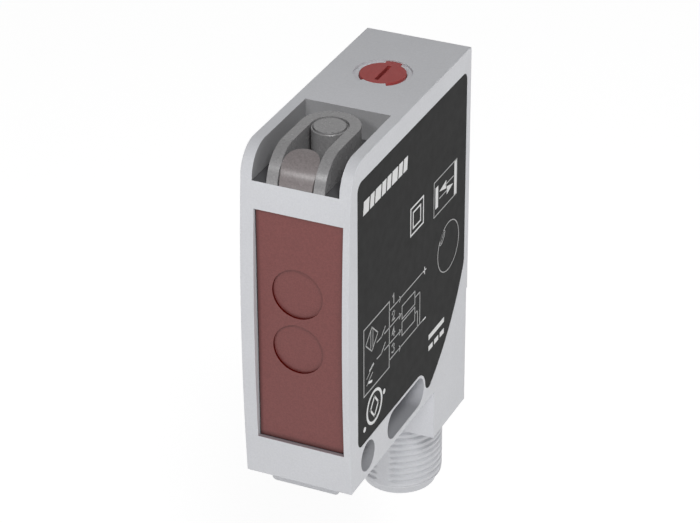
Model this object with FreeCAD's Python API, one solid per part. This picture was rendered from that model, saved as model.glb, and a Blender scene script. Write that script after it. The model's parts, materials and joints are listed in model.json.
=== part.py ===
import FreeCAD, Part
import math
import os

# A block-shaped photoelectric sensor with a front window, a range adjuster on top and an M12 plug below.
# Millimetres, +Z up. The window faces -Y and the printed label faces +X.
# Everything is drawn with y from the foot of the front face and z from the underside of the front part.
# save() then moves each piece so that the origin is the axis of the front mounting hole, at mid-width.

# Housing
WIDTH = 15.0
DEPTH = 38.75
HEIGHT = 47.25
HALF = WIDTH / 2
BOW = 0.78            # the front face bows out by this much
BOW_Z = 21.0          # height of the bow's crest
TOP_RADIUS = 4.0      # front top edge, seen from the side
BACK_RADIUS = 0.4     # rear top edge, seen from the side
EDGE_RADIUS = 0.12    # broken edges around both side faces
MOUTH_RADIUS = 0.05   # broken edges where the hole and the slot meet the side faces
WALL = 1.3
FOOT_FRONT = 27.3     # front wall of the rear foot
FOOT_DROP = 7.5       # the rear foot reaches this far below the front part
FOOT_FLOOR = 4.0      # thickness of the foot's floor, which holds the connector shell
BACK_STEP = 0.3       # the rear cover stands out from the housing's back by this much
COVER_Z = 10.6        # lower edge of the rear cover
COVER_THICK = 1.3
COVER_LAND = 2.0      # the housing's lower back wall reaches this far in from the cover's outer face
PLUG_DEPTH = 1.2      # the cover's plug reaches this far into the housing
SEAL_SECTION = (0.6, 0.9)   # width and depth of the rear cover's seal

# Mounting features
HOLE_RADIUS = 2.15    # clearance for an M4 screw
HOLE_Y = 5.2
HOLE_Z = 3.05
SLOT_Y = (13.65, 21.55)   # centres of the slot's round ends
RAIL_HALF = 4.8
RAIL_DROP = 1.95
RAIL_Y = (1.9, 26.6)
RAIL_RADIUS = 0.6

# Front window, a little nearer to the labelled side
WINDOW_X = 0.5
OPENING_HALF = 6.1
OPENING_Z = (5.92, 39.33)
PANE_GAP = 0.16       # ring of sealant around the pane
PANE_FACE = 0.12      # y of the pane's front
PANE_THICK = 1.4
SEAL_FACE = 0.2      # y of the sealant's front
LEDGE = 1.4           # width of the ledge that the pane rests on
FRONT_WALL = 3.0      # y of the cavity's front

# Optics
OPTICS_X = 0.1
LENS_Z = (28.15, 20.15)   # emitter above, receiver below
LENS_RADIUS = 3.5
LENS_FIT = 0.05
LENS_RECESS = 0.32     # shallow round recess in the pane in front of each lens
LENS_Y = 1.95
LENS_RIM = 1.2
LENS_DOME = 1.1
LENS_LAND = 0.4       # flat edge around the lens's dome
CARRIER_HALF = 4.25
CARRIER_Y = (1.85, 13.0)
CARRIER_Z = (15.55, 32.75)
TUNNEL_RADIUS = 2.7
OPTICS_BOARD_Y = (13.6, 14.6)
LED_CHIP = (1.0, 0.6)       # half side and height of the emitter's base
LED_DOME = 0.8
RECEIVER_CHIP = (1.0, 0.8, 1.8)   # half width, height and half length

# Pocket on top, with the indicator bezel and the light guides
TOP_X = 0.04
POCKET_HALF = 5.94
POCKET_BACK = 15.72
POCKET_FLOOR = 43.1
POCKET_FLOOR_THICK = 1.3
ARCH_OUTER = 3.95
ARCH_INNER = 2.46
ARCH_Y = 10.3         # centre of the arch's round end
ARCH_PROFILE = 4.8    # radius of the arch's rounded front, seen from the side
ARCH_DROP = 0.06      # the arch's top lies this far below the housing's top
TONGUE_DROP = 0.38
TONGUE_END = 4.0      # y of the tongue's round rear end
TONGUE_HALF = 2.43
TONGUE_TAPER = 0.36   # the tongue narrows by this much on each side towards the front
POST_RADIUS = 2.4
POST_CAP_RADIUS = 2.1
POST_CAP_RISE = 0.2
POST_GROOVE = (0.12, 0.25)    # width and depth of the groove around the cap
POST_EDGE = 0.12      # rounding of the post's shoulder
CAP_EDGE = 0.07       # rounding of the cap's rim
STEM_RADIUS = 1.1
STEM_FIT = 0.05
TONGUE_STEM_Y = 3.6

# Boards inside
TOP_BOARD_Z = (39.1, 40.1)
TOP_BOARD_HALF = 5.8
TOP_BOARD_Y = (4.2, 33.0)
MAIN_BOARD_X = (-5.7, -4.7)
MAIN_BOARD_Y = (15.6, 35.0)
MAIN_BOARD_Z = (8.0, 38.5)
LED_TOP = 41.4
LED_CASE = (0.8, 0.6, 0.4, 0.6)   # half width of base and lens, half length, height of the base
PIN_SIDE = 0.5        # square board pins
PIN_PITCH = 2.54
PIN_INSET = 2.0       # from a board's corner to its first pin
PIN_LAP = 1.5         # how far the pins lie against the main board
PROCESSOR = (22.5, 30.0, (1.2, 7.0, 7.0))   # y, z, and height, length, width
DRIVER = (22.5, 20.0, (1.0, 5.0, 4.0))
TRANSISTOR = (22.0, (11.0, 14.0), (1.1, 2.9, 1.6))
CAPACITOR = (30.8, (31.0, 24.5), 2.0, 5.0)  # y, both z, radius, height

# Range adjuster
KNOB_Y = 26.62
KNOB_RADIUS = 3.1
KNOB_BORE = 3.17
KNOB_DEPTH = 2.6
KNOB_EDGE = 0.1       # rounding of the knob's rim
STOP_RADIUS = 3.9     # shallow ring around the knob, in which its pointer runs
STOP_DEPTH = 0.36
STOP_LUG = 29.5       # half the angle of the housing's lug that stops the pointer
POINTER_HALF = 1.08
POINTER_REACH = 3.82
POINTER_DROP = 0.12
POINTER_LIFT = 0.04   # clearance under the pointer
SCREW_SLOT = (0.56, 4.4, 1.0)
RING_SECTION = 0.3    # radius of the knob's O-ring section
RING_DEPTH = 1.0      # from the top to the O-ring's middle
RING_FIT = 0.03
POT_HALF = 3.4
POT_Z = (40.1, 43.6)
ROTOR_RADIUS = 2.1
ROTOR_SUNK = 1.5      # the rotor starts this far below the potentiometer's top
ROTOR_FIT = 0.07
BLADE = (0.8, 3.0, 0.8)   # thickness, width and height of the rotor's blade
BLADE_FIT = 0.05

# Connector
NOSE_Y = 32.9
NOSE_END = -18.78
THREAD_RADIUS = 6.0
THREAD_PITCH = 1.0
THREAD_DEPTH = 0.55
THREAD_CREST = 0.3    # width of each ridge's flat crest
THREAD_END = -17.5    # the thread stops here and a plain end ring follows
END_RING_RADIUS = 5.15
NOSE_FLAT = 5.85      # flats on the front and back of the thread
SPIGOT_RADIUS = 5.3
SOCKET_RADIUS = 4.25
INSERT_FACE = -8.8
INSERT_TOP = -2.5
GROOVE_Z = (-6.5, -5.5)   # the insert's groove for its O-ring
GROOVE_DEPTH = 0.7
INSERT_RING = (0.36, 0.34)    # how far in its centre lies, and the radius of its section
CONTACT_RADIUS = 0.5
CONTACT_SPREAD = 1.77
CONTACT_TIP = -16.8
CONTACT_TAIL = 0.7
CONTACT_BEVEL = 0.2
KEY_HALF = 0.6
KEY_DEPTH = 0.55
CONNECTOR_BOARD = (5.6, -3.6, 2.6, -0.3, 0.7)   # half width, y about the nose's axis, z
LEAD_Y = (-3.0, 1.0)      # about the nose's axis
LEAD_THICK = 0.15

# Label in its recess
LABEL_RECESS = 0.2
LABEL_THICK = 0.15
LABEL_Y = (2.05, 37.4)
LABEL_Z = (5.6, 44.28)
LABEL_CORNER = 1.3
LABEL_LEAVE = 8.0     # the edge follows the slot's rear end down to this angle
LABEL_TIP = (25.31, 1.94)
LABEL_RISE = (26.05, 2.17)    # from here the edge sweeps up in a long arc
LABEL_KNEE = (37.0, 14.66)
LABEL_BEND = 16.06    # z where the edge becomes upright

FAR = 60.0            # longer than anything that it cuts


def point(x, y, z):
    return FreeCAD.Vector(x, y, z)


def box(x0, x1, y0, y1, z0, z1):
    return Part.makeBox(x1 - x0, y1 - y0, z1 - z0, point(x0, y0, z0))


def upright(radius, y, z0, z1, x=0.0):
    return Part.makeCylinder(radius, z1 - z0, point(x, y, z0))


def forward(radius, z, y0, y1, x=0.0):
    return Part.makeCylinder(radius, y1 - y0, point(x, y0, z), point(0, 1, 0))


def line(start, end):
    return Part.makeLine(point(0, *start), point(0, *end))


def arc(start, middle, end):
    return Part.Arc(point(0, *start), point(0, *middle), point(0, *end)).toShape()


def on_circle(centre, radius, degrees):
    angle = math.radians(degrees)
    return (centre[0] + radius * math.cos(angle), centre[1] + radius * math.sin(angle))


def round_corner(centre, radius, start, end):
    """Arc about centre from one direction to another, in degrees, in the plane of the side face."""
    return arc(*(on_circle(centre, radius, angle) for angle in (start, (start + end) / 2, end)))


def bulge(start, end, share):
    """Arc that swings out to the right of the way from start to end, by a share of that distance."""
    along, up = end[0] - start[0], end[1] - start[1]
    middle = ((start[0] + end[0]) / 2 + share * up, (start[1] + end[1]) / 2 - share * along)
    return arc(start, middle, end)


def slab(edges, x0, x1):
    """Solid between two planes across X, with the closed outline that the edges draw."""
    solid = Part.Face(Part.Wire(edges)).extrude(point(x1 - x0, 0, 0))
    solid.translate(point(x0, 0, 0))
    return solid


def profile_front(radius, top):
    """Edges of a front that follows the bow and rounds into a level top, with the rounding's centre y."""
    bow_radius = (BOW_Z ** 2 + BOW ** 2) / (2 * BOW)
    bow_y = bow_radius - BOW
    round_z = top - radius
    round_y = bow_y - math.sqrt((bow_radius - radius) ** 2 - (round_z - BOW_Z) ** 2)
    tangent = 180 - math.degrees(math.atan2(round_z - BOW_Z, bow_y - round_y))
    meet = on_circle((round_y, round_z), radius, tangent)
    edges = [arc((0, 0), (-BOW, BOW_Z), meet), round_corner((round_y, round_z), radius, tangent, 90)]
    return edges, round_y


def block(depth):
    """The whole outer form, with rounded edges, to the given depth."""
    edges, round_y = profile_front(TOP_RADIUS, HEIGHT)
    back = depth - BACK_RADIUS
    edges += [
        line((round_y, HEIGHT), (back, HEIGHT)),
        round_corner((back, HEIGHT - BACK_RADIUS), BACK_RADIUS, 90, 0),
        line((depth, HEIGHT - BACK_RADIUS), (depth, -FOOT_DROP)),
        line((depth, -FOOT_DROP), (FOOT_FRONT, -FOOT_DROP)),
        line((FOOT_FRONT, -FOOT_DROP), (FOOT_FRONT, 0)),
        line((FOOT_FRONT, 0), (0, 0)),
    ]
    solid = slab(edges, -HALF, HALF)
    rims = [edge for edge in solid.Edges if edge.BoundBox.XLength < 0.01]
    front_foot = [edge for edge in solid.Edges if edge.BoundBox.YMax < 0.01 and edge.BoundBox.ZMax < 0.01]
    return solid.makeFillet(EDGE_RADIUS, rims + front_foot)


def cover_region():
    return box(-FAR, FAR, DEPTH - COVER_THICK, FAR, COVER_Z, FAR)


def cross_hole(y):
    return Part.makeCylinder(HOLE_RADIUS, 2 * FAR, point(-FAR, y, HOLE_Z), point(1, 0, 0))


def cross_slot():
    """Slot through the whole width, round at both ends."""
    y0, y1 = SLOT_Y
    middle = box(-FAR, FAR, y0, y1, HOLE_Z - HOLE_RADIUS, HOLE_Z + HOLE_RADIUS)
    return middle.fuse([cross_hole(y0), cross_hole(y1)])


def label_edges():
    y0, y1 = LABEL_Y
    z0, z1 = LABEL_Z
    corner = LABEL_CORNER
    slot_end = (SLOT_Y[1], HOLE_Z)
    ring = z0 - HOLE_Z
    leave = on_circle(slot_end, ring, LABEL_LEAVE)
    bend = (y1, LABEL_BEND)
    return [
        line((y0 + corner, z0), (slot_end[0], z0)),
        round_corner(slot_end, ring, 90, LABEL_LEAVE),
        bulge(leave, LABEL_TIP, 0.2),
        bulge(LABEL_TIP, LABEL_RISE, 0.15),
        bulge(LABEL_RISE, LABEL_KNEE, 0.07),
        bulge(LABEL_KNEE, bend, 0.08),
        line(bend, (y1, z1 - corner)),
        round_corner((y1 - corner, z1 - corner), corner, 0, 90),
        line((y1 - corner, z1), (y0 + corner, z1)),
        round_corner((y0 + corner, z1 - corner), corner, 90, 180),
        line((y0, z1 - corner), (y0, z0 + corner)),
        round_corner((y0 + corner, z0 + corner), corner, 180, 270),
    ]


def ring_sector(inner, outer, z0, z1, half_angle, middle):
    """Piece of a ring about the knob's axis, half_angle either side of the middle direction."""
    ring = upright(outer, KNOB_Y, z0, z1, TOP_X).cut(upright(inner, KNOB_Y, z0, z1, TOP_X))
    foot = point(TOP_X, KNOB_Y, z0)
    wedge = Part.makeCylinder(2 * outer, z1 - z0, foot, point(0, 0, 1), 2 * half_angle)
    wedge.rotate(foot, point(0, 0, 1), middle - half_angle)
    return ring.common(wedge)


def cavity():
    """Inside of the housing, open to the back."""
    inner = HALF - WALL
    pocket_wall = POCKET_BACK + WALL
    under_pocket = POCKET_FLOOR - POCKET_FLOOR_THICK
    room = box(-inner, inner, FRONT_WALL, FAR, HOLE_Z + HOLE_RADIUS + WALL, under_pocket)
    upper = box(-inner, inner, pocket_wall, FAR, under_pocket, HEIGHT - WALL)
    foot_z = FOOT_FLOOR - FOOT_DROP
    foot = box(-inner, inner, FOOT_FRONT + WALL, FAR, foot_z, HOLE_Z + HOLE_RADIUS + WALL)
    back_wall = box(-FAR, FAR, DEPTH - BACK_STEP - COVER_LAND, FAR, -FAR, COVER_Z)
    return room.fuse([upper, foot]).cut(back_wall)


def window_recess():
    z0, z1 = OPENING_Z
    back = PANE_FACE + PANE_THICK
    left, right = WINDOW_X - OPENING_HALF, WINDOW_X + OPENING_HALF
    recess = box(left, right, -FAR, back, z0, z1)
    light = box(left + LEDGE, right - LEDGE, 0, 2 * FRONT_WALL, z0 + 2 * LEDGE, z1 - LEDGE)
    return recess.fuse(light)


def mouth_edges(shape):
    """Edges where the cross hole and the slot come out of the side faces."""
    found = []
    for edge in shape.Edges:
        bounds = edge.BoundBox
        on_side = bounds.XLength < 0.001 and abs(abs(bounds.XMin) - HALF) < 0.001
        low = bounds.ZMax < HOLE_Z + HOLE_RADIUS + 0.01 and bounds.ZMin > HOLE_Z - HOLE_RADIUS - 0.01
        inside = bounds.YMin > HOLE_Y - HOLE_RADIUS - 0.01 and bounds.YMax < SLOT_Y[1] + HOLE_RADIUS + 0.01
        if on_side and low and inside:
            found.append(edge)
    return found


def housing():
    shape = block(DEPTH - BACK_STEP).cut(cover_region())
    shape = shape.cut([cross_hole(HOLE_Y), cross_slot()])
    shape = shape.makeFillet(MOUTH_RADIUS, mouth_edges(shape))
    rail = box(-RAIL_HALF, RAIL_HALF, RAIL_Y[0], RAIL_Y[1], -RAIL_DROP, RAIL_RADIUS)
    low = [edge for edge in rail.Edges
           if edge.BoundBox.ZMax < -RAIL_DROP + 0.01 and edge.BoundBox.YLength > 1]
    shape = shape.fuse(rail.makeFillet(RAIL_RADIUS, low))
    pocket = box(TOP_X - POCKET_HALF, TOP_X + POCKET_HALF, -FAR, POCKET_BACK, POCKET_FLOOR, FAR)
    stop_floor = HEIGHT - STOP_DEPTH
    stop_ring = ring_sector(KNOB_RADIUS, STOP_RADIUS, stop_floor, FAR, 180 - STOP_LUG, 90)
    label_floor = slab(label_edges(), HALF - LABEL_RECESS, FAR)
    cuts = [
        cavity(),
        window_recess(),
        pocket,
        upright(KNOB_BORE, KNOB_Y, HEIGHT - 2 * WALL, FAR, TOP_X),
        stop_ring,
        upright(STEM_RADIUS, ARCH_Y, HEIGHT / 2, FAR, TOP_X),
        upright(STEM_RADIUS, TONGUE_STEM_Y, HEIGHT / 2, FAR, TOP_X),
        upright(SPIGOT_RADIUS, NOSE_Y, -FAR, 0),
        label_floor,
    ]
    return shape.cut(cuts)


def cover_opening(inset, y0, y1):
    """Block that fills the housing's rear opening, smaller by inset all round."""
    half = HALF - WALL - inset
    return box(-half, half, y0, y1, COVER_Z + inset, HEIGHT - WALL - inset)


def rear_cover():
    plate = block(DEPTH).common(cover_region())
    plug_y = DEPTH - COVER_THICK
    plug = cover_opening(SEAL_SECTION[0], plug_y - PLUG_DEPTH, plug_y)
    return plate.fuse(plug).removeSplitter()


def rear_cover_seal():
    width, depth = SEAL_SECTION
    y1 = DEPTH - COVER_THICK
    return cover_opening(0, y1 - depth, y1).cut(cover_opening(width, y1 - depth, y1))


def side_label():
    floor = HALF - LABEL_RECESS
    return slab(label_edges(), floor, floor + LABEL_THICK)


def pane_box(gap, y0, y1):
    half = OPENING_HALF - gap
    return box(WINDOW_X - half, WINDOW_X + half, y0, y1, OPENING_Z[0] + gap, OPENING_Z[1] - gap)


def front_window():
    pane = pane_box(PANE_GAP, PANE_FACE, PANE_FACE + PANE_THICK)
    recesses = [forward(LENS_RADIUS, z, -FAR, PANE_FACE + LENS_RECESS, OPTICS_X) for z in LENS_Z]
    return pane.cut(recesses)


def window_seal():
    back = PANE_FACE + PANE_THICK
    return pane_box(0, SEAL_FACE, back).cut(pane_box(PANE_GAP, SEAL_FACE, back))


def lens_carrier():
    body = box(OPTICS_X - CARRIER_HALF, OPTICS_X + CARRIER_HALF, *CARRIER_Y, *CARRIER_Z)
    seat_back = LENS_Y + LENS_RIM + LENS_DOME
    cuts = []
    for z in LENS_Z:
        cuts.append(forward(LENS_RADIUS + LENS_FIT, z, 0, seat_back, OPTICS_X))
        cuts.append(forward(TUNNEL_RADIUS, z, 0, FAR, OPTICS_X))
    return body.cut(cuts)


def lens(z):
    """Plano-convex lens: a flat rim disc with a shallow dome behind it."""
    back = LENS_Y + LENS_RIM
    rim = forward(LENS_RADIUS, z, LENS_Y, back, OPTICS_X)
    base = LENS_RADIUS - LENS_LAND
    radius = (base ** 2 + LENS_DOME ** 2) / (2 * LENS_DOME)
    ball = Part.makeSphere(radius, point(OPTICS_X, back + LENS_DOME - radius, z))
    dome = ball.common(forward(base, z, back, back + 2 * LENS_DOME, OPTICS_X))
    return rim.fuse(dome)


def optics_board():
    return box(OPTICS_X - CARRIER_HALF, OPTICS_X + CARRIER_HALF, *OPTICS_BOARD_Y, *CARRIER_Z)


def emitter_led():
    half, height = LED_CHIP
    face, z = OPTICS_BOARD_Y[0] - height, LENS_Z[0]
    base = box(OPTICS_X - half, OPTICS_X + half, face, OPTICS_BOARD_Y[0], z - half, z + half)
    ball = Part.makeSphere(LED_DOME, point(OPTICS_X, face, z))
    return base.fuse(ball.cut(forward(FAR, z, face, FAR, OPTICS_X)))


def receiver_chip():
    half, height, long_half = RECEIVER_CHIP
    z = LENS_Z[1]
    return box(OPTICS_X - half, OPTICS_X + half, OPTICS_BOARD_Y[0] - height, OPTICS_BOARD_Y[0],
               z - long_half, z + long_half)


def main_board():
    return box(*MAIN_BOARD_X, *MAIN_BOARD_Y, *MAIN_BOARD_Z)


def top_board():
    return box(-TOP_BOARD_HALF, TOP_BOARD_HALF, *TOP_BOARD_Y, *TOP_BOARD_Z)


def pin_row(count, pitch, first, size):
    """Row of equal board pins, each a bar of the given size, spaced along Z or Y by the pitch vector."""
    pins = []
    for index in range(count):
        corner = first.add(point(*pitch).multiply(index))
        pins.append(Part.makeBox(*size, corner))
    return pins


def optics_link_pins():
    """Pins from the optics board to the main board."""
    board_edge = OPTICS_X - CARRIER_HALF
    start = point(MAIN_BOARD_X[1], OPTICS_BOARD_Y[1], CARRIER_Z[0] + PIN_INSET)
    size = (board_edge + PIN_SIDE - MAIN_BOARD_X[1], PIN_SIDE, PIN_SIDE)
    legs = pin_row(6, (0, 0, PIN_PITCH), start, size)
    size = (PIN_SIDE, MAIN_BOARD_Y[0] + PIN_LAP - OPTICS_BOARD_Y[1], PIN_SIDE)
    arms = pin_row(6, (0, 0, PIN_PITCH), start, size)
    return Part.makeCompound([leg.fuse(arm).removeSplitter() for leg, arm in zip(legs, arms)])


def top_link_pins():
    """Pins from the top board down to the main board's face."""
    start = point(MAIN_BOARD_X[1], MAIN_BOARD_Y[0] + PIN_INSET, MAIN_BOARD_Z[1] - PIN_LAP)
    size = (PIN_SIDE, PIN_SIDE, TOP_BOARD_Z[0] - MAIN_BOARD_Z[1] + PIN_LAP)
    return Part.makeCompound(pin_row(5, (0, PIN_PITCH, 0), start, size))


def chip(y, z, size):
    """Component on the inner face of the main board, centred at (y, z): size is height, length and width."""
    face = MAIN_BOARD_X[1]
    rise, length, width = size
    return box(face, face + rise, y - length / 2, y + length / 2, z - width / 2, z + width / 2)


def output_transistors():
    y, places, size = TRANSISTOR
    return Part.makeCompound([chip(y, z, size) for z in places])


def capacitors():
    y, places, radius, height = CAPACITOR
    face = MAIN_BOARD_X[1]
    cans = [Part.makeCylinder(radius, height, point(face, y, z), point(1, 0, 0)) for z in places]
    return Part.makeCompound(cans)


def rounded_front(half, top):
    """Everything under a level top that rounds down in front, between two planes across X."""
    edges, round_y = profile_front(ARCH_PROFILE, top)
    edges += [
        line((round_y, top), (FAR, top)),
        line((FAR, top), (FAR, 0)),
        line((FAR, 0), (0, 0)),
    ]
    return slab(edges, TOP_X - half, TOP_X + half)


def arch_form(radius, front):
    """Upright block with a round rear end about the arch's centre."""
    round_end = upright(radius, ARCH_Y, POCKET_FLOOR, HEIGHT, TOP_X)
    return round_end.fuse(box(TOP_X - radius, TOP_X + radius, front, ARCH_Y, POCKET_FLOOR, HEIGHT))


def indicator_arch():
    """U-shaped bezel in the pocket, with its round end at the back and its arms rounding down in front."""
    arms = arch_form(ARCH_OUTER, -1).cut(arch_form(ARCH_INNER, -2))
    return arms.common(rounded_front(ARCH_OUTER, HEIGHT - ARCH_DROP)).removeSplitter()


def stem(y):
    """Round foot of a light guide, through the pocket's floor."""
    return upright(STEM_RADIUS - STEM_FIT, y, POCKET_FLOOR - POCKET_FLOOR_THICK, POCKET_FLOOR, TOP_X)


def front_light_guide():
    """Tongue between the arch's arms: round behind, rounded down to the front lip, on a stem to its lamp."""
    centre = TONGUE_END - TONGUE_HALF
    front = TONGUE_HALF - TONGUE_TAPER
    sides = [(-front, -1.0), (front, -1.0), (TONGUE_HALF, centre), (-TONGUE_HALF, centre)]
    corners = [point(TOP_X + x, y, POCKET_FLOOR) for x, y in sides]
    plan = Part.Face(Part.makePolygon(corners + corners[:1]))
    tongue = plan.extrude(point(0, 0, HEIGHT - POCKET_FLOOR))
    tongue = tongue.fuse(upright(TONGUE_HALF, centre, POCKET_FLOOR, HEIGHT, TOP_X))
    tongue = tongue.common(rounded_front(TONGUE_HALF, HEIGHT - TONGUE_DROP))
    return tongue.fuse(stem(TONGUE_STEM_Y)).removeSplitter()


def top_rim(shape, z):
    return [edge for edge in shape.Edges if edge.BoundBox.ZMin > z - 0.01]


def rear_light_guide():
    """Round post inside the arch's round end, with a raised cap and a stem to its lamp."""
    shoulder = HEIGHT - ARCH_DROP - POST_CAP_RISE
    crown = shoulder + POST_CAP_RISE
    post = upright(POST_RADIUS, ARCH_Y, POCKET_FLOOR, shoulder, TOP_X)
    post = post.makeFillet(POST_EDGE, top_rim(post, shoulder))
    cap = upright(POST_CAP_RADIUS, ARCH_Y, shoulder - POST_CAP_RISE, crown, TOP_X)
    cap = cap.makeFillet(CAP_EDGE, top_rim(cap, crown))
    width, depth = POST_GROOVE
    groove = upright(POST_CAP_RADIUS + width, ARCH_Y, shoulder - depth, HEIGHT, TOP_X)
    groove = groove.cut(upright(POST_CAP_RADIUS, ARCH_Y, 0, FAR, TOP_X))
    return post.fuse([cap, stem(ARCH_Y)]).removeSplitter().cut(groove)


def indicator_led(y):
    base_half, lens_half, long_half, height = LED_CASE
    low = TOP_BOARD_Z[1]
    y0, y1 = y - long_half, y + long_half
    base = box(TOP_X - base_half, TOP_X + base_half, y0, y1, low, low + height)
    top = box(TOP_X - lens_half, TOP_X + lens_half, y0, y1, low + height, LED_TOP)
    return base.fuse(top).removeSplitter()


def potentiometer():
    body = box(TOP_X - POT_HALF, TOP_X + POT_HALF, KNOB_Y - POT_HALF, KNOB_Y + POT_HALF, *POT_Z)
    well = POT_Z[1] - ROTOR_SUNK - ROTOR_FIT
    return body.cut(upright(ROTOR_RADIUS + ROTOR_FIT, KNOB_Y, well, FAR, TOP_X))


def across_knob(half_x, half_y, z0, z1):
    """Block about the knob's axis."""
    return box(TOP_X - half_x, TOP_X + half_x, KNOB_Y - half_y, KNOB_Y + half_y, z0, z1)


def potentiometer_rotor():
    top = HEIGHT - KNOB_DEPTH
    disc = upright(ROTOR_RADIUS, KNOB_Y, POT_Z[1] - ROTOR_SUNK, top, TOP_X)
    thick, wide, tall = BLADE
    return disc.fuse(across_knob(thick / 2, wide / 2, top, top + tall)).removeSplitter()


def adjuster_knob():
    """Red disc, flush with the top, with a screwdriver slot and a pointer that runs between the stops."""
    low = HEIGHT - KNOB_DEPTH
    body = upright(KNOB_RADIUS, KNOB_Y, low, HEIGHT, TOP_X)
    body = body.makeFillet(KNOB_EDGE, top_rim(body, HEIGHT))
    pointer_top = HEIGHT - POINTER_DROP
    pointer_low = HEIGHT - STOP_DEPTH + POINTER_LIFT
    bar = box(TOP_X - POINTER_HALF, TOP_X + POINTER_HALF, KNOB_Y, FAR, pointer_low, pointer_top)
    pointer = bar.common(upright(POINTER_REACH, KNOB_Y, pointer_low, pointer_top, TOP_X))
    wide, long, deep = SCREW_SLOT
    slot = across_knob(wide / 2, long / 2, HEIGHT - deep, FAR)
    thick, broad, tall = BLADE
    socket = across_knob(thick / 2 + BLADE_FIT, broad / 2 + BLADE_FIT, low, low + tall + BLADE_FIT)
    groove_z = HEIGHT - RING_DEPTH
    groove = upright(FAR, KNOB_Y, groove_z - RING_SECTION, groove_z + RING_SECTION, TOP_X)
    groove = groove.cut(upright(KNOB_BORE - 2 * RING_SECTION, KNOB_Y, -FAR, FAR, TOP_X))
    return body.fuse(pointer).cut([slot, socket, groove])


def knob_o_ring():
    centre = point(TOP_X, KNOB_Y, HEIGHT - RING_DEPTH)
    return Part.makeTorus(KNOB_BORE - RING_FIT - RING_SECTION, RING_SECTION - RING_FIT, centre)


def connector_shell():
    """Threaded nose: annular ridges for the thread, a plain end ring, and a spigot in the foot's floor."""
    start = -FOOT_DROP
    root = THREAD_RADIUS - THREAD_DEPTH
    outline = [(SOCKET_RADIUS, NOSE_END), (END_RING_RADIUS, NOSE_END), (END_RING_RADIUS, THREAD_END)]
    flank = (THREAD_PITCH - THREAD_CREST) / 2
    ridges = int((start - THREAD_END) / THREAD_PITCH)
    for index in range(ridges):
        low = THREAD_END + index * THREAD_PITCH
        outline += [(root, low), (THREAD_RADIUS, low + flank), (THREAD_RADIUS, low + flank + THREAD_CREST)]
    last = THREAD_END + ridges * THREAD_PITCH
    outline += [(root, last), (root, start), (SPIGOT_RADIUS, start), (SPIGOT_RADIUS, start + FOOT_FLOOR)]
    outline += [(SOCKET_RADIUS, start + FOOT_FLOOR)]
    corners = [point(radius, NOSE_Y, z) for radius, z in outline]
    face = Part.Face(Part.makePolygon(corners + corners[:1]))
    tube = face.revolve(point(0, NOSE_Y, 0), point(0, 0, 1), 360)
    flats = [
        box(-FAR, FAR, NOSE_Y - FAR, NOSE_Y - NOSE_FLAT, -FAR, start),
        box(-FAR, FAR, NOSE_Y + NOSE_FLAT, NOSE_Y + FAR, -FAR, start),
    ]
    return tube.cut(flats)


def contact_places():
    spread = CONTACT_SPREAD
    return [(-spread, NOSE_Y - spread), (spread, NOSE_Y - spread),
            (spread, NOSE_Y + spread), (-spread, NOSE_Y + spread)]


def contact_insert():
    """Insulating plug that holds the contacts, with a coding key that runs down the socket's wall."""
    body = upright(SOCKET_RADIUS, NOSE_Y, INSERT_FACE, INSERT_TOP)
    key = box(-KEY_HALF, KEY_HALF, NOSE_Y - SOCKET_RADIUS, NOSE_Y - SOCKET_RADIUS + KEY_DEPTH,
              CONTACT_TIP, INSERT_FACE).common(upright(SOCKET_RADIUS, NOSE_Y, CONTACT_TIP, INSERT_FACE))
    body = body.fuse(key)
    groove = upright(FAR, NOSE_Y, *GROOVE_Z).cut(upright(SOCKET_RADIUS - GROOVE_DEPTH, NOSE_Y, -FAR, FAR))
    holes = [upright(CONTACT_RADIUS, y, -FAR, FAR, x) for x, y in contact_places()]
    return body.cut(holes + [groove])


def insert_o_ring():
    inset, section = INSERT_RING
    return Part.makeTorus(SOCKET_RADIUS - inset, section, point(0, NOSE_Y, sum(GROOVE_Z) / 2))


def contact_pin(place):
    x, y = place
    pin = upright(CONTACT_RADIUS, y, CONTACT_TIP, CONTACT_TAIL, x)
    tip = [edge for edge in pin.Edges if edge.BoundBox.ZMax < CONTACT_TIP + 0.01]
    return pin.makeChamfer(CONTACT_BEVEL, tip)


def connector_board():
    """Small board over the contacts' tails, which joins them to the main board."""
    half, front, back, low, high = CONNECTOR_BOARD
    board = box(-half, half, NOSE_Y + front, NOSE_Y + back, low, high)
    holes = [upright(CONTACT_RADIUS, y, -FAR, FAR, x) for x, y in contact_places()]
    return board.cut(holes)


def connector_lead():
    """Flat flexible lead that climbs from the connector board to the main board."""
    x0 = MAIN_BOARD_X[1]
    board_top = CONNECTOR_BOARD[-1]
    y0, y1 = NOSE_Y + LEAD_Y[0], NOSE_Y + LEAD_Y[1]
    return box(x0, x0 + LEAD_THICK, y0, y1, board_top, MAIN_BOARD_Z[0] + PIN_INSET)


def save(name, shape):
    shape = shape.copy()
    shape.translate(point(0, -HOLE_Y, -HOLE_Z))
    shape.exportStep("parts/" + name + ".step")
    print(name, "solids", len(shape.Solids), "valid", shape.isValid(), "volume", round(shape.Volume, 2))


os.makedirs("parts", exist_ok=True)

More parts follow.
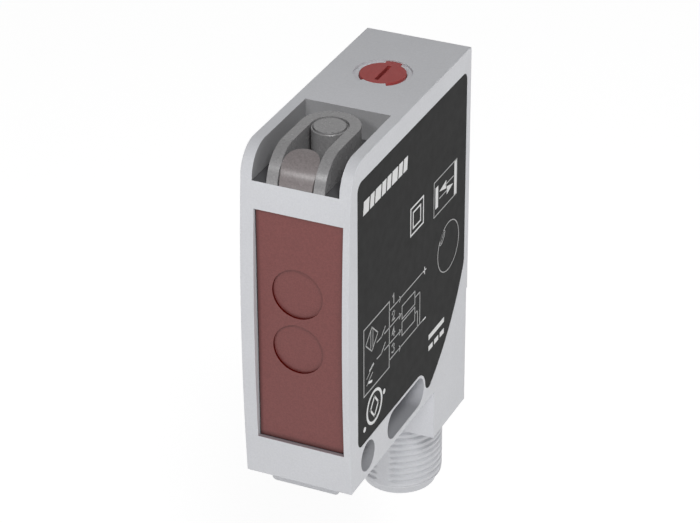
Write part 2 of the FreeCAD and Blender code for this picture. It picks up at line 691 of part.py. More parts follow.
save("housing", housing())
save("rear_cover", rear_cover())
save("rear_cover_seal", rear_cover_seal())
save("side_label", side_label())
save("front_window", front_window())
save("window_seal", window_seal())
save("lens_carrier", lens_carrier())
save("emitter_lens", lens(LENS_Z[0]))
save("receiver_lens", lens(LENS_Z[1]))
save("emitter_led", emitter_led())
save("receiver_chip", receiver_chip())
save("optics_board", optics_board())
save("optics_link_pins", optics_link_pins())
save("main_board", main_board())
save("processor_chip", chip(*PROCESSOR))
save("driver_chip", chip(*DRIVER))
save("output_transistors", output_transistors())
save("capacitors", capacitors())
save("top_board", top_board())
save("top_link_pins", top_link_pins())
save("front_indicator_led", indicator_led(TONGUE_STEM_Y + STEM_RADIUS))
save("rear_indicator_led", indicator_led(ARCH_Y))
save("indicator_arch", indicator_arch())
save("front_light_guide", front_light_guide())
save("rear_light_guide", rear_light_guide())
save("potentiometer", potentiometer())
save("potentiometer_rotor", potentiometer_rotor())
save("adjuster_knob", adjuster_knob())
save("knob_o_ring", knob_o_ring())
save("connector_shell", connector_shell())
save("contact_insert", contact_insert())
save("insert_o_ring", insert_o_ring())
for number, place in enumerate(contact_places(), start=1):
    save("contact_pin_" + str(number), contact_pin(place))
save("connector_board", connector_board())
save("connector_lead", connector_lead())
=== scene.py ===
import json
import math

import bmesh
import bpy
from mathutils import Matrix, Vector


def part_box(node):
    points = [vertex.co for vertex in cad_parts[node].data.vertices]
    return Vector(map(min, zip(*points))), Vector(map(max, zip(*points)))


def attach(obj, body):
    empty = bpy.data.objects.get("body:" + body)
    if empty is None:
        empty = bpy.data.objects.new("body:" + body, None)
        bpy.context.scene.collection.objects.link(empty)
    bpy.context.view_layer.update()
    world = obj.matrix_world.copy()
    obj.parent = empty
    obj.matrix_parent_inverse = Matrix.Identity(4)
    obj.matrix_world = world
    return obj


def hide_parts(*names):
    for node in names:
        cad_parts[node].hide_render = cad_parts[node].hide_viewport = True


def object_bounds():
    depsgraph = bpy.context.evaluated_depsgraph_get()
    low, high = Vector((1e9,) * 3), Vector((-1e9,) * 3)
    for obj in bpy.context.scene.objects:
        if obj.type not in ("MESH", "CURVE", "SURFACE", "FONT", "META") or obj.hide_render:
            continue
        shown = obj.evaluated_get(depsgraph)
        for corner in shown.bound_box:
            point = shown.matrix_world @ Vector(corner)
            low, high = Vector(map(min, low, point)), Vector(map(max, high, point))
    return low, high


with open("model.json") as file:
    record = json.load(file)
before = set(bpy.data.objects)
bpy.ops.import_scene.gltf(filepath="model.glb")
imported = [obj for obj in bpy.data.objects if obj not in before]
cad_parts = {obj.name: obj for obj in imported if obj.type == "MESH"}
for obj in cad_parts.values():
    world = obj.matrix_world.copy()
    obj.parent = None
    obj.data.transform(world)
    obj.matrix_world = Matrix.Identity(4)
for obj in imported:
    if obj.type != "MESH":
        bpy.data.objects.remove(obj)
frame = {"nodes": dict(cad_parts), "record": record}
CAD_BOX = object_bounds()

MM = 0.001
BODY = "sensor_body"

# Drawing millimetres: x from mid-width, y from the foot of the front face, z from the front part's underside.
# The frame's origin is the axis of the front mounting hole.
HOLE_Y, HOLE_Z = 5.2, 3.05


def place(x, y, z):
    return Vector((x, y - HOLE_Y, z - HOLE_Z)) * MM


# ---------------------------------------------------------------- materials
# Noise scales, in cells per metre.
GRAIN = 4200.0
SPARKLE = 5200.0


class Nodes:
    """Short notation for one material's node tree."""

    def __init__(self, name):
        self.material = bpy.data.materials.new(name)
        self.material.use_nodes = True
        self.tree = self.material.node_tree
        self.tree.nodes.clear()
        self.shader = self.add("ShaderNodeBsdfPrincipled")
        self.output = self.add("ShaderNodeOutputMaterial")
        self.link(self.shader.outputs["BSDF"], self.output.inputs["Surface"])
        self.place = self.add("ShaderNodeTexCoord").outputs["Object"]

    def add(self, kind, **values):
        node = self.tree.nodes.new(kind)
        for key, value in values.items():
            setattr(node, key, value)
        return node

    def link(self, start, end):
        self.tree.links.new(start, end)

    def set(self, **sockets):
        for key, value in sockets.items():
            self.shader.inputs[key.replace("_", " ")].default_value = value

    def noise(self, scale, detail=3.0, roughness=0.5, stretch=(1, 1, 1)):
        node = self.add("ShaderNodeTexNoise")
        node.inputs["Scale"].default_value = scale
        node.inputs["Detail"].default_value = detail
        node.inputs["Roughness"].default_value = roughness
        mapping = self.add("ShaderNodeMapping")
        mapping.inputs["Scale"].default_value = stretch
        self.link(self.place, mapping.inputs["Vector"])
        self.link(mapping.outputs["Vector"], node.inputs["Vector"])
        return node.outputs["Fac"]

    def spread(self, source, low, high, start=0.3, end=0.7):
        """Maps start..end, at first a noise's usual range, onto low..high."""
        node = self.add("ShaderNodeMapRange")
        node.inputs["From Min"].default_value = start
        node.inputs["From Max"].default_value = end
        node.inputs["To Min"].default_value = low
        node.inputs["To Max"].default_value = high
        self.link(source, node.inputs["Value"])
        return node.outputs["Result"]

    def math(self, kind, first, second):
        node = self.add("ShaderNodeMath", operation=kind)
        for socket, value in zip(node.inputs, (first, second)):
            if isinstance(value, (int, float)):
                socket.default_value = value
            else:
                self.link(value, socket)
        return node.outputs["Value"]

    def axis(self, name):
        """One coordinate of the surface point, in metres."""
        node = self.add("ShaderNodeSeparateXYZ")
        self.link(self.place, node.inputs["Vector"])
        return node.outputs[name]

    def tint(self, colour, factor):
        """The colour times a factor that varies over the surface."""
        node = self.add("ShaderNodeVectorMath", operation="SCALE")
        node.inputs[0].default_value = colour
        self.link(factor, node.inputs["Scale"])
        return node.outputs["Vector"]

    def mix(self, first, second, factor):
        node = self.add("ShaderNodeMix", data_type="RGBA")
        for socket, value in ((node.inputs["A"], first), (node.inputs["B"], second)):
            if isinstance(value, tuple):
                socket.default_value = (*value, 1)
            else:
                self.link(value, socket)
        self.link(factor, node.inputs["Factor"])
        return node.outputs["Result"]

    def bump(self, source, strength, distance, under=None):
        node = self.add("ShaderNodeBump")
        node.inputs["Strength"].default_value = strength
        node.inputs["Distance"].default_value = distance
        self.link(source, node.inputs["Height"])
        if under is not None:
            self.link(under, node.inputs["Normal"])
        return node.outputs["Normal"]


def srgb(*levels):
    """Linear colour from 0..255 display levels."""
    def linear(level):
        share = level / 255
        return share / 12.92 if level < 11 else ((share + 0.055) / 1.055) ** 2.4
    return tuple(linear(level) for level in levels)


def coated(name, colour, roughness, grain=GRAIN, speckle=0.03, patch=0.02, bump=0.1, depth=0.00002,
           stretch=(1, 1, 1), **extra):
    """Moulded or coated surface: a fine speckle over faint patches, an uneven gloss and a fine grain."""
    n = Nodes(name)
    fine = n.noise(grain, 2.0, 0.6, stretch)
    level = n.math("MULTIPLY", n.spread(fine, 1 - speckle, 1 + speckle),
                   n.spread(n.noise(120.0, 4.0), 1 - patch, 1 + patch))
    n.link(n.tint(colour, level), n.shader.inputs["Base Color"])
    n.link(n.spread(n.noise(700.0, 3.0), roughness - 0.04, roughness + 0.04), n.shader.inputs["Roughness"])
    n.link(n.bump(fine, bump, depth), n.shader.inputs["Normal"])
    n.set(**extra)
    return n.material


def circuit_board():
    """Solder mask over a net of slightly raised tracks, with tinned vias."""
    n = Nodes("circuit_board")
    brick = n.add("ShaderNodeTexBrick", offset=0.5)
    brick.inputs["Scale"].default_value = 420.0
    brick.inputs["Mortar Size"].default_value = 0.035
    turned = n.add("ShaderNodeMapping")
    turned.inputs["Rotation"].default_value = (0.0, math.radians(90), math.radians(90))
    n.link(n.place, turned.inputs["Vector"])
    n.link(turned.outputs["Vector"], brick.inputs["Vector"])
    track = brick.outputs["Fac"]
    dots = n.add("ShaderNodeTexVoronoi")
    dots.inputs["Scale"].default_value = 330.0
    n.link(n.place, dots.inputs["Vector"])
    via = n.spread(dots.outputs["Distance"], 1.0, 0.0, 0.10, 0.14)
    mask = n.mix(srgb(24, 84, 46), srgb(40, 116, 66), track)
    n.link(n.mix(mask, srgb(196, 198, 190), via), n.shader.inputs["Base Color"])
    n.link(n.bump(track, 0.3, 0.00003, n.bump(n.noise(2600.0), 0.05, 0.00001)), n.shader.inputs["Normal"])
    n.link(n.spread(n.noise(500.0), 0.3, 0.45), n.shader.inputs["Roughness"])
    return n.material


def window_filter():
    """Red filter plastic with a fine sparkle, with painted shade in a narrow band along one side and along
    the bottom, and faintly along the other side.
    """
    n = Nodes("window_filter")
    low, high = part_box("front_window")
    # painted shade: the base colour darkens in narrow bands along the pane's edges, beside the opening's
    # walls
    side = n.spread(n.axis("X"), 0.5, 1.0, low.x, low.x + 0.0005)
    bottom = n.spread(n.axis("Z"), 0.5, 1.0, low.z, low.z + 0.0008)
    right = n.spread(n.axis("X"), 1.0, 0.93, high.x - 0.0006, high.x)
    grain = n.noise(SPARKLE, 1.0, 0.7)
    sparkle = n.spread(grain, 0.9, 1.1)
    level = n.math("MULTIPLY", n.math("MULTIPLY", side, bottom), n.math("MULTIPLY", right, sparkle))
    n.link(n.tint(srgb(124, 70, 68), level), n.shader.inputs["Base Color"])
    n.link(n.spread(n.noise(900.0), 0.34, 0.44), n.shader.inputs["Roughness"])
    n.link(n.bump(grain, 0.06, 0.00002), n.shader.inputs["Normal"])
    n.set(Specular_IOR_Level=0.35)
    return n.material


def slot_wall_painted_shade_and_light():
    """Coated metal inside the mounting slot, darker than the housing as painted shade and lighter towards the
    end that faces the sensor's front as painted light.
    """
    n = Nodes("slot_wall_painted_shade_and_light")
    geometry = n.add("ShaderNodeNewGeometry")
    split = n.add("ShaderNodeSeparateXYZ")
    n.link(geometry.outputs["Normal"], split.inputs["Vector"])
    fine = n.noise(GRAIN, 2.0, 0.6)
    # painted light: faces turned to the front get up to 1.8 times the grey, which is itself a painted shade
    level = n.math("MULTIPLY", n.spread(split.outputs["Y"], 1.8, 1.0, -1.0, 0.1), n.spread(fine, 0.97, 1.03))
    n.link(n.tint(srgb(160, 161, 165), level), n.shader.inputs["Base Color"])
    n.link(n.bump(fine, 0.1, 0.00002), n.shader.inputs["Normal"])
    n.set(Roughness=0.5, Specular_IOR_Level=0.3)
    return n.material


HOUSING = coated("housing_coat", srgb(211, 212, 216), 0.42, speckle=0.035, bump=0.14,
                 Specular_IOR_Level=0.4)
# painted shade: the pocket's side walls, back wall and floor take darker greys than the housing coat, the
# floor darkest and the back wall lighter than the side walls as painted light
POCKET_WALL_SHADE = coated("pocket_wall_painted_shade", srgb(164, 164, 166), 0.5, speckle=0.04, Specular_IOR_Level=0.3)
POCKET_BACK_WALL_SHADE = coated("pocket_back_wall_painted_shade", srgb(176, 176, 178), 0.5, speckle=0.04,
                          Specular_IOR_Level=0.3)
POCKET_SHADE = coated("pocket_floor_painted_shade", srgb(88, 88, 90), 0.6, speckle=0.06, Specular_IOR_Level=0.1)
# painted shade: a darker grey for the walls of the hole and slot and for the rounding under the front face
BORE_AND_EDGE_SHADE = coated("bore_and_edge_painted_shade", srgb(173, 174, 178), 0.5, speckle=0.03, Specular_IOR_Level=0.3)
# painted shade and a painted reflection of the red window: a darker, pinkish grey for the opening's sill
OPENING_SILL_SHADE_AND_REFLECTION = coated("opening_sill_painted_shade_and_red_reflection", srgb(150, 138, 142), 0.55, speckle=0.05, Specular_IOR_Level=0.2)
LABEL = coated("label_film", srgb(48, 48, 48), 0.55, grain=3000.0, speckle=0.03, bump=0.03,
               Specular_IOR_Level=0.04)
PRINT = coated("label_print", srgb(232, 232, 232), 0.6, speckle=0.02, bump=0.03, Specular_IOR_Level=0.2)
FINE_PRINT = coated("label_fine_print", srgb(186, 186, 186), 0.6, speckle=0.03, bump=0.03,
                    Specular_IOR_Level=0.1)
SLOT_WALL_SHADE_AND_LIGHT = slot_wall_painted_shade_and_light()
WINDOW = window_filter()
SEALANT = coated("sealant", srgb(62, 58, 60), 0.6)
# painted shade: a dark red for the walls of the window's two round recesses
LENS_RECESS_SHADE = coated("lens_recess_wall_painted_shade", srgb(84, 6, 0), 0.5, Specular_IOR_Level=0.05)
GREY_PLASTIC = coated("grey_plastic", srgb(149, 148, 149), 0.26, speckle=0.12, bump=0.12,
                      Specular_IOR_Level=1.0)
GUIDE = coated("frosted_guide", srgb(138, 131, 131), 0.24, speckle=0.14, bump=0.12,
               Specular_IOR_Level=1.0, Coat_Weight=0.5, Coat_Roughness=0.2)
KNOB = coated("red_plastic", srgb(172, 72, 70), 0.42, speckle=0.06, stretch=(1, 0.25, 1),
              Specular_IOR_Level=0.35)
BLACK_PLASTIC = coated("black_plastic", srgb(45, 45, 46), 0.5, speckle=0.08)
RUBBER = coated("black_rubber", srgb(38, 38, 38), 0.75, speckle=0.12, bump=0.3)
BOARD = circuit_board()
GOLD = coated("gold_pin", srgb(214, 176, 96), 0.25, stretch=(1, 1, 0.15), Metallic=1.0)
CHIP = coated("chip_black", srgb(44, 44, 46), 0.45, speckle=0.1, bump=0.25)
CAN = coated("capacitor_can", srgb(200, 200, 202), 0.28, stretch=(0.15, 1, 1), Metallic=1.0)
LED = coated("led_white", srgb(228, 226, 214), 0.4)
LENS = coated("clear_lens", srgb(225, 228, 230), 0.1, speckle=0.01, bump=0.02, Transmission_Weight=0.6)
ROTOR = coated("rotor_white", srgb(226, 224, 216), 0.5)
FLEX = coated("flex_film", srgb(190, 132, 60), 0.4, stretch=(1, 1, 0.1))

BY_SLOT = {
    "housing_metal": HOUSING, "black_rubber": RUBBER, "label_film": LABEL, "red_window": WINDOW,
    "black_sealant": SEALANT, "black_plastic": BLACK_PLASTIC, "clear_lens": LENS, "chip_black": CHIP,
    "circuit_board": BOARD, "gold_pin": GOLD, "capacitor_can": CAN, "led_white": LED,
    "grey_plastic": GREY_PLASTIC, "light_guide": GUIDE, "rotor_white": ROTOR, "red_plastic": KNOB,
    "flex_lead": FLEX,
}
SLOT_OF = {entry["node"]: entry["material_slot"] for entry in frame["record"]["subparts"]}

for name, node in frame["nodes"].items():
    node.data.materials.clear()
    node.data.materials.append(BY_SLOT[SLOT_OF[name]])


def paint_faces(node_name, material, chosen):
    """Gives the node's faces for which chosen(centre, normal) holds another material."""
    mesh = frame["nodes"][node_name].data
    mesh.materials.append(material)
    index = len(mesh.materials) - 1
    for polygon in mesh.polygons:
        if chosen(polygon.center / MM + Vector((0, HOLE_Y, HOLE_Z)), polygon.normal):
            polygon.material_index = index


# ---------------------------------------------------------------- surfaces inside openings, with painted shade and light
# The housing's own sizes, by which its faces are told apart.
HEIGHT = 47.25
TOP_X = 0.04
POCKET_BACK = 15.72
POCKET_FLOOR = 43.1
POCKET_HALF = 5.94
OPTICS_X = 0.1
HOLE_RADIUS = 2.15
SLOT_ENDS = (13.65, 21.55)
LENS_PLACES = (28.15, 20.15)
LENS_RADIUS = 3.5
OPENING_LOW = 5.92
BEHIND_HOLE = 10.0
FRONT_DEPTH = 1.0
EDGE_DEPTH = 0.3
EDGE_RISE = 0.15
NEAR = 0.05


def in_pocket(centre, normal):
    inside = abs(centre.x - TOP_X) < POCKET_HALF + NEAR and centre.y < POCKET_BACK + NEAR
    at_height = POCKET_FLOOR - NEAR < centre.z < HEIGHT
    on_wall_or_floor = abs(normal.y) + abs(normal.x) + normal.z > 0.99
    on_front_face = normal.y < -0.5 and centre.y < FRONT_DEPTH
    return inside and at_height and on_wall_or_floor and not on_front_face


def on_pocket_back(centre, normal):
    return in_pocket(centre, normal) and normal.y < -0.7


def on_pocket_floor(centre, normal):
    return in_pocket(centre, normal) and normal.z > 0.7


def in_bore(centre, normal):
    along = min(max(centre.y, SLOT_ENDS[0]), SLOT_ENDS[1])
    from_slot = math.hypot(centre.y - along, centre.z - HOLE_Z)
    from_hole = math.hypot(centre.y - HOLE_Y, centre.z - HOLE_Z)
    on_wall = min(abs(from_slot - HOLE_RADIUS), abs(from_hole - HOLE_RADIUS)) < NEAR
    return on_wall and abs(normal.x) < 0.2


def in_slot(centre, normal):
    return in_bore(centre, normal) and centre.y > BEHIND_HOLE


def on_recess_wall(centre, normal):
    in_recess = any(math.hypot(centre.x - OPTICS_X, centre.z - z) < LENS_RADIUS + NEAR for z in LENS_PLACES)
    return in_recess and abs(normal.y) < 0.5


def on_opening_floor(centre, normal):
    """The sill of the window's opening."""
    return normal.z > 0.9 and centre.y < FRONT_DEPTH and abs(centre.z - OPENING_LOW) < NEAR


def under_front_edge(centre, normal):
    """The rounding below the front face, which takes a painted shade."""
    return centre.y < EDGE_DEPTH and -NEAR < centre.z < EDGE_RISE and normal.z < -0.3


# painted shade on the pocket, the bores, the rounding under the front face, the window's sill and the lens
# recesses; painted light on the slot's wall and the pocket's back wall; a painted red reflection on the sill
paint_faces("housing", POCKET_WALL_SHADE, in_pocket)
paint_faces("housing", POCKET_BACK_WALL_SHADE, on_pocket_back)
paint_faces("housing", POCKET_SHADE, on_pocket_floor)
paint_faces("housing", BORE_AND_EDGE_SHADE, under_front_edge)
paint_faces("housing", OPENING_SILL_SHADE_AND_REFLECTION, on_opening_floor)
paint_faces("housing", BORE_AND_EDGE_SHADE, in_bore)
paint_faces("housing", SLOT_WALL_SHADE_AND_LIGHT, in_slot)
paint_faces("front_window", LENS_RECESS_SHADE, on_recess_wall)


# ---------------------------------------------------------------- mesh helpers
def make_piece(name, vertices, faces, material, body):
    """Closed mesh from points in frame metres."""
    mesh = bpy.data.meshes.new(name)
    mesh.from_pydata(vertices, [], faces)
    shape = bmesh.new()
    shape.from_mesh(mesh)
    bmesh.ops.recalc_face_normals(shape, faces=shape.faces)
    shape.to_mesh(mesh)
    shape.free()
    mesh.materials.append(material)
    piece = bpy.data.objects.new(name, mesh)
    bpy.context.scene.collection.objects.link(piece)
    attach(piece, body)
    return piece


class Print:
    """Thin raised shapes on the label's face, drawn in (y, z) drawing millimetres as closed prisms."""

    low, high = 7.449, 7.475        # x from just under the film's face to just above it

    def __init__(self):
        self.vertices, self.faces = [], []

    def ring_of_points(self, points):
        start = len(self.vertices)
        for x in (self.low, self.high):
            self.vertices += [place(x, y, z) for y, z in points]
        return start

    def polygon(self, points):
        start, count = self.ring_of_points(points), len(points)
        self.faces.append([start + count + i for i in range(count)])
        self.faces.append([start + i for i in reversed(range(count))])
        for i in range(count):
            j = (i + 1) % count
            self.faces.append([start + i, start + j, start + count + j, start + count + i])

    def band(self, inner, outer):
        """Closed band between two loops of the same number of points."""
        a, b, count = self.ring_of_points(inner), self.ring_of_points(outer), len(inner)
        for i in range(count):
            j = (i + 1) % count
            self.faces.append([a + count + i, b + count + i, b + count + j, a + count + j])
            self.faces.append([a + i, a + j, b + j, b + i])
            self.faces.append([b + i, b + j, b + count + j, b + count + i])
            self.faces.append([a + j, a + i, a + count + i, a + count + j])

    def rect(self, y0, y1, z0, z1):
        self.polygon([(y0, z0), (y1, z0), (y1, z1), (y0, z1)])

    def line(self, start, end, width):
        along = Vector((end[0] - start[0], end[1] - start[1])).normalized() * width / 2
        side = Vector((-along.y, along.x))
        a, b = Vector(start) - along, Vector(end) + along
        self.polygon([tuple(a - side), tuple(b - side), tuple(b + side), tuple(a + side)])

    def disc(self, centre, radius, count):
        steps = [i * 2 * math.pi / count for i in range(count)]
        self.polygon([(centre[0] + radius * math.cos(a), centre[1] + radius * math.sin(a)) for a in steps])

    def path(self, points, width):
        for start, end in zip(points, points[1:]):
            self.line(start, end, width)

    def frame(self, y0, y1, z0, z1, width):
        def loop(grow):
            left, right, foot, head = y0 - grow, y1 + grow, z0 - grow, z1 + grow
            return [(left, foot), (right, foot), (right, head), (left, head)]
        self.band(loop(-width / 2), loop(width / 2))

    def oval(self, centre, radii, width, tilt=0.0, count=64):
        def loop(grow):
            points = []
            for i in range(count):
                angle = 2 * math.pi * i / count
                a, b = (radii[0] + grow) * math.cos(angle), (radii[1] + grow) * math.sin(angle)
                turned = (a * math.cos(tilt) - b * math.sin(tilt), a * math.sin(tilt) + b * math.cos(tilt))
                points.append((centre[0] + turned[0], centre[1] + turned[1]))
            return points
        self.band(loop(-width / 2), loop(width / 2))

    def strokes(self, centre, size, paths, width):
        for points in paths:
            self.path([(centre[0] + size * y, centre[1] + size * z) for y, z in points], width)

    def finish(self, name, material):
        return make_piece(name, self.vertices, self.faces, material, BODY)


DIGITS = {
    1: [[(-0.2, 0.4), (0.1, 0.65), (0.1, -0.65)]],
    2: [[(-0.4, 0.35), (-0.25, 0.6), (0.15, 0.65), (0.4, 0.4), (0.33, 0.1), (-0.42, -0.63), (0.42, -0.63)]],
    3: [[(-0.4, 0.5), (0.0, 0.65), (0.38, 0.4), (0.05, 0.05), (0.4, -0.3), (0.05, -0.65), (-0.42, -0.45)]],
    4: [[(0.18, -0.65), (0.18, 0.65), (-0.45, -0.25), (0.45, -0.25)]],
}


# Widths of the print's lines.
HAIR, THIN, LINE = 0.13, 0.15, 0.17


def word_blocks(bold):
    """A plain row of slanted blocks stands where a maker's word would be."""
    y, foot, head, slant, gap = 3.85, 39.12, 41.0, 0.25, 0.36
    for width in (1.7, 1.2, 1.7, 1.2, 1.2, 1.7, 1.2, 1.2):
        bold.polygon([(y, foot), (y + width, foot), (y + width + slant, head), (y + slant, head)])
        y += width + gap


def double_square(bold):
    """The sign for double insulation."""
    bold.frame(18.79, 22.94, 28.7, 32.64, 0.24)
    bold.frame(19.59, 22.02, 29.51, 31.83, 0.24)


def light_path_pictogram(bold, fine):
    """A target on each side and an arrow each way."""
    fine.frame(26.5, 34.25, 27.55, 32.72, THIN)
    bold.rect(33.41, 34.22, 27.6, 32.7)
    bold.rect(26.99, 27.86, 28.58, 31.73)
    fine.line((30.3, 30.65), (33.1, 30.65), THIN)
    bold.polygon([(28.3, 30.63), (30.6, 30.02), (30.6, 31.22)])
    fine.line((28.35, 29.6), (31.0, 29.6), THIN)
    bold.polygon([(33.0, 29.63), (30.86, 30.16), (30.86, 29.0)])


def dial_outline(fine):
    """A circle with a small crossed oval on its rim."""
    fine.oval((31.66, 20.74), (3.63, 3.63), HAIR)
    fine.oval((29.51, 23.03), (1.1, 0.5), 0.12, math.radians(45), 32)
    fine.line((28.95, 22.47), (30.05, 23.55), 0.1)


def sensor_block(bold, fine):
    """The wiring diagram's left box: a diamond, two light arrows and two switches."""
    fine.frame(3.98, 12.0, 12.66, 22.58, LINE)
    fine.path([(4.58, 19.99), (6.48, 21.77), (8.38, 19.99), (6.48, 18.21), (4.58, 19.99)], LINE)
    for y in (6.15, 6.8):
        fine.line((y, 18.8), (y, 21.2), HAIR)
    bold.path([(5.9, 15.6), (6.9, 16.0)], 0.34)
    bold.path([(5.6, 14.0), (6.4, 13.75)], 0.34)
    fine.path([(4.9, 14.9), (6.9, 16.0)], HAIR)
    fine.path([(4.9, 13.9), (6.7, 14.9)], HAIR)
    for z, rise in ((18.64, 0.95), (16.16, 1.0)):
        fine.line((8.13, z), (9.5, z), LINE)
        fine.line((9.5, z), (10.7, z + rise), LINE)
        fine.line((10.5, z), (12.0, z + 0.02), LINE)


def numbered_wires(bold, fine):
    """The wiring diagram's four wires with their numbers, two loads, and plus and minus."""
    for digit, z, end in ((1, 21.18, 22.75), (2, 18.64, 16.13), (4, 16.19, 16.13), (3, 13.72, 22.75)):
        fine.line((12.0, z), (end, z + 0.03), THIN)
        fine.path([(15.25, z + 0.38), (15.72, z), (15.25, z - 0.38)], THIN)
        fine.strokes((13.31, z + 1.18), 1.0, DIGITS[digit], 0.2)
    fine.frame(16.13, 20.35, 17.72, 19.68, THIN)
    fine.frame(16.13, 20.35, 15.2, 17.25, THIN)
    fine.path([(20.35, 18.68), (22.04, 18.7), (22.04, 13.76)], THIN)
    fine.path([(20.35, 16.24), (21.26, 16.25), (21.26, 13.75)], THIN)
    bold.line((23.1, 21.18), (24.0, 21.18), 0.18)
    bold.line((23.55, 20.73), (23.55, 21.63), 0.18)
    bold.line((23.1, 13.72), (24.0, 13.72), 0.2)


def ring_and_diamond(bold):
    """A plain ring with a diamond inside and a dot on each side."""
    bold.oval((7.29, 9.43), (2.3, 2.3), 0.42)
    bold.path([(6.05, 9.43), (7.29, 10.95), (8.53, 9.43), (7.29, 7.91), (6.05, 9.43)], 0.3)
    for dot in ((4.2, 7.6), (10.4, 9.9)):
        bold.disc(dot, 0.38, 16)


def direct_current(bold):
    """The sign for direct current: a bar over three dashes."""
    bold.rect(25.2, 30.5, 9.5, 10.25)
    for y in (25.2, 27.15, 29.1):
        bold.rect(y, y + 1.4, 7.75, 8.5)


def label_print():
    bold, fine = Print(), Print()
    word_blocks(bold)
    double_square(bold)
    light_path_pictogram(bold, fine)
    dial_outline(fine)
    sensor_block(bold, fine)
    numbered_wires(bold, fine)
    ring_and_diamond(bold)
    direct_current(bold)
    bold.finish("label_print_bold", PRINT)
    fine.finish("label_print_fine", FINE_PRINT)


label_print()


# ---------------------------------------------------------------- connector shell with a helical thread
NOSE_Y = 32.9
FOOT_UNDERSIDE = -7.5
SPIGOT_TOP = -3.5
SPIGOT_RADIUS = 5.3
SOCKET_RADIUS = 4.25
CREST, ROOT = 6.0, 5.76
PITCH = 1.0
THREAD_END = -17.5
NOSE_END = -18.78
END_RING_RADIUS = 5.14
FLAT = 5.85
STRIP_HALF = 0.85
STRIP_FADE = 0.5
UPPER_RUNOUT = 0.6
LOWER_RUNOUT = 0.4
END_CHAMFER = 0.05
SOCKET_CHAMFER = 0.2
LIP = 0.001                     # keeps the spigot's edge apart from the thread's first row
SEGMENTS = 160
STEP = 0.0625
FLAT_END = 0.98


def smooth(low, high, value):
    t = min(1.0, max(0.0, (value - low) / (high - low)))
    return t * t * (3 - 2 * t)


def thread_radius(angle, z):
    """Radius of a right-hand thread with broad rounded ridges, plain along the strips in front and behind."""
    turn = (z / PITCH - angle / (2 * math.pi)) % 1.0
    ridge = 1 - smooth(0.3, 1.0, abs(turn - 0.5) * 2)
    strip = 1 - smooth(STRIP_HALF, STRIP_HALF + STRIP_FADE, abs(CREST * math.cos(angle)))
    below_foot = smooth(FOOT_UNDERSIDE, FOOT_UNDERSIDE - UPPER_RUNOUT, z)
    above_ring = smooth(THREAD_END, THREAD_END + LOWER_RUNOUT, z)
    return ROOT + (CREST - ROOT) * max(ridge, strip) * below_foot * above_ring


def connector_shell():
    """Closed tube from rows of (radius, z): spigot, thread (radius None), end ring, then up the socket."""
    rows = [(SPIGOT_RADIUS, SPIGOT_TOP), (SPIGOT_RADIUS, FOOT_UNDERSIDE - LIP)]
    length = FOOT_UNDERSIDE - THREAD_END
    steps = int(length / STEP)
    rows += [(None, FOOT_UNDERSIDE - length * i / steps) for i in range(steps + 1)]
    rows += [(END_RING_RADIUS, THREAD_END), (END_RING_RADIUS, NOSE_END + END_CHAMFER)]
    rows += [(END_RING_RADIUS - END_CHAMFER, NOSE_END), (SOCKET_RADIUS + SOCKET_CHAMFER, NOSE_END)]
    rows += [(SOCKET_RADIUS, NOSE_END + SOCKET_CHAMFER), (SOCKET_RADIUS, SPIGOT_TOP)]
    vertices, faces = [], []
    for radius, z in rows:
        for i in range(SEGMENTS):
            angle = 2 * math.pi * i / SEGMENTS
            r = thread_radius(angle, z) if radius is None else radius
            y = min(FLAT, max(-FLAT, r * math.sin(angle)))
            vertices.append(place(r * math.cos(angle), NOSE_Y + y, z))
    for row in range(len(rows)):
        below = (row + 1) % len(rows)
        for i in range(SEGMENTS):
            j = (i + 1) % SEGMENTS
            faces.append([row * SEGMENTS + i, below * SEGMENTS + i, below * SEGMENTS + j, row * SEGMENTS + j])
    piece = make_piece("connector_shell_threaded", vertices, faces, HOUSING, BODY)
    for polygon in piece.data.polygons:
        polygon.use_smooth = abs(polygon.normal.z) < FLAT_END
    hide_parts("connector_shell")


connector_shell()


# ---------------------------------------------------------------- floor, light and camera
FLOOR_HALF = 3.0
FLOOR_GAP = 0.03
BEHIND, AROUND = 0.62, 0.05     # strength of the world's light from behind, and its least strength
AIM = (0, 0.005, 0.012)
# The camera is turned from the front by its yaw and tilted down by its pitch. Lens and sensor are in
# millimetres, its distance from the drawing's zero point in metres.
CAMERA_YAW = math.radians(24.5736)
CAMERA_PITCH = math.radians(29.6066)
CAMERA_ROLL = math.radians(-0.2607)
CAMERA_DISTANCE = 0.360559
CAMERA_ACROSS = 0.00661
CAMERA_ABOVE = 0.028699
CAMERA_LENS = 142.6238
CAMERA_SENSOR = 36


def studio_floor():
    mesh = bpy.data.meshes.new("studio_floor")
    drop = CAD_BOX[0].z - FLOOR_GAP
    corners = ((-1, -1), (1, -1), (1, 1), (-1, 1))
    mesh.from_pydata([(x * FLOOR_HALF, y * FLOOR_HALF, drop) for x, y in corners], [], [(0, 1, 2, 3)])
    floor = bpy.data.objects.new("studio_floor", mesh)
    bpy.context.scene.collection.objects.link(floor)
    n = Nodes("floor_white")
    n.set(Base_Color=(0.3, 0.3, 0.3, 1), Roughness=0.9, Emission_Color=(1, 1, 1, 1), Emission_Strength=0.9)
    mesh.materials.append(n.material)


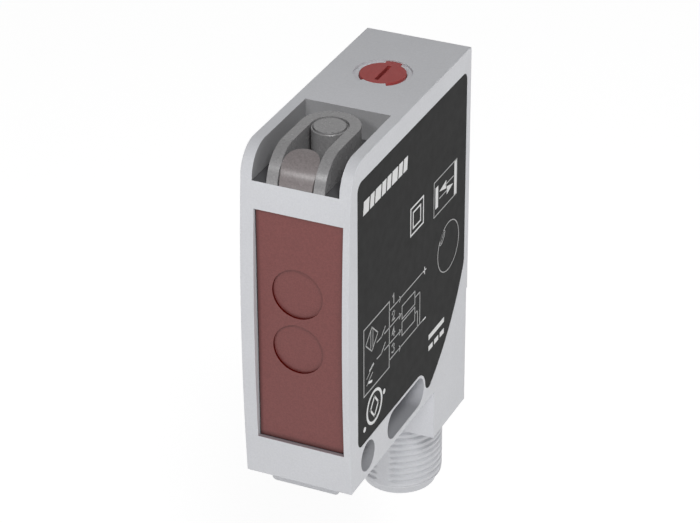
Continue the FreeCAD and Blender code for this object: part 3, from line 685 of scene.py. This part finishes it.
def world_light():
    """Soft white light that is strongest from behind and faint elsewhere."""
    world = bpy.data.worlds.new("studio_world")
    world.use_nodes = True
    tree = world.node_tree
    direction = tree.nodes.new("ShaderNodeTexCoord")
    split = tree.nodes.new("ShaderNodeSeparateXYZ")
    tree.links.new(direction.outputs["Generated"], split.inputs["Vector"])
    value = split.outputs["Y"]
    for operation, numbers in (("MAXIMUM", (0.0,)), ("POWER", (2.0,)), ("MULTIPLY_ADD", (BEHIND, AROUND))):
        node = tree.nodes.new("ShaderNodeMath")
        node.operation = operation
        for socket, number in zip(node.inputs[1:], numbers):
            socket.default_value = number
        tree.links.new(value, node.inputs[0])
        value = node.outputs["Value"]
    background = tree.nodes["Background"]
    background.inputs["Color"].default_value = (1, 1, 1, 1)
    tree.links.new(value, background.inputs["Strength"])
    bpy.context.scene.world = world
    bpy.context.scene.view_settings.view_transform = "Standard"


def area_light(name, spot, size, power):
    """Round lamp at a spot, turned to the sensor."""
    light = bpy.data.lights.new(name, "AREA")
    light.shape = "DISK"
    light.size = size
    light.energy = power
    lamp = bpy.data.objects.new(name, light)
    lamp.location = spot
    lamp.rotation_euler = (Vector(AIM) - Vector(spot)).to_track_quat("-Z", "Y").to_euler()
    bpy.context.scene.collection.objects.link(lamp)


def camera():
    """Long lens from the front right and above."""
    yaw, pitch, roll = CAMERA_YAW, CAMERA_PITCH, CAMERA_ROLL
    back = Vector((math.sin(yaw) * math.cos(pitch), -math.cos(yaw) * math.cos(pitch), math.sin(pitch)))
    level = Vector((math.cos(yaw), math.sin(yaw), 0))
    upward = back.cross(level)
    right = level * math.cos(roll) + upward * math.sin(roll)
    up = upward * math.cos(roll) - level * math.sin(roll)
    eye_place = place(0, 0, 0) + right * CAMERA_ACROSS + up * CAMERA_ABOVE + back * CAMERA_DISTANCE
    data = bpy.data.cameras.new("camera")
    data.lens = CAMERA_LENS
    data.sensor_width = CAMERA_SENSOR
    data.clip_start = 0.01
    data.clip_end = 20
    eye = bpy.data.objects.new("camera", data)
    eye.matrix_world = Matrix((
        (right.x, up.x, back.x, eye_place.x), (right.y, up.y, back.y, eye_place.y),
        (right.z, up.z, back.z, eye_place.z), (0, 0, 0, 1),
    ))
    bpy.context.scene.collection.objects.link(eye)
    bpy.context.scene.camera = eye


studio_floor()
world_light()
area_light("key", (0.146, -0.172, 0.31), 0.15, 0.68)
area_light("fill", (-0.04, -0.16, 0.16), 0.06, 0.08)
area_light("rim", (0.33, 0.18, 0.16), 0.2, 0.05)
camera()
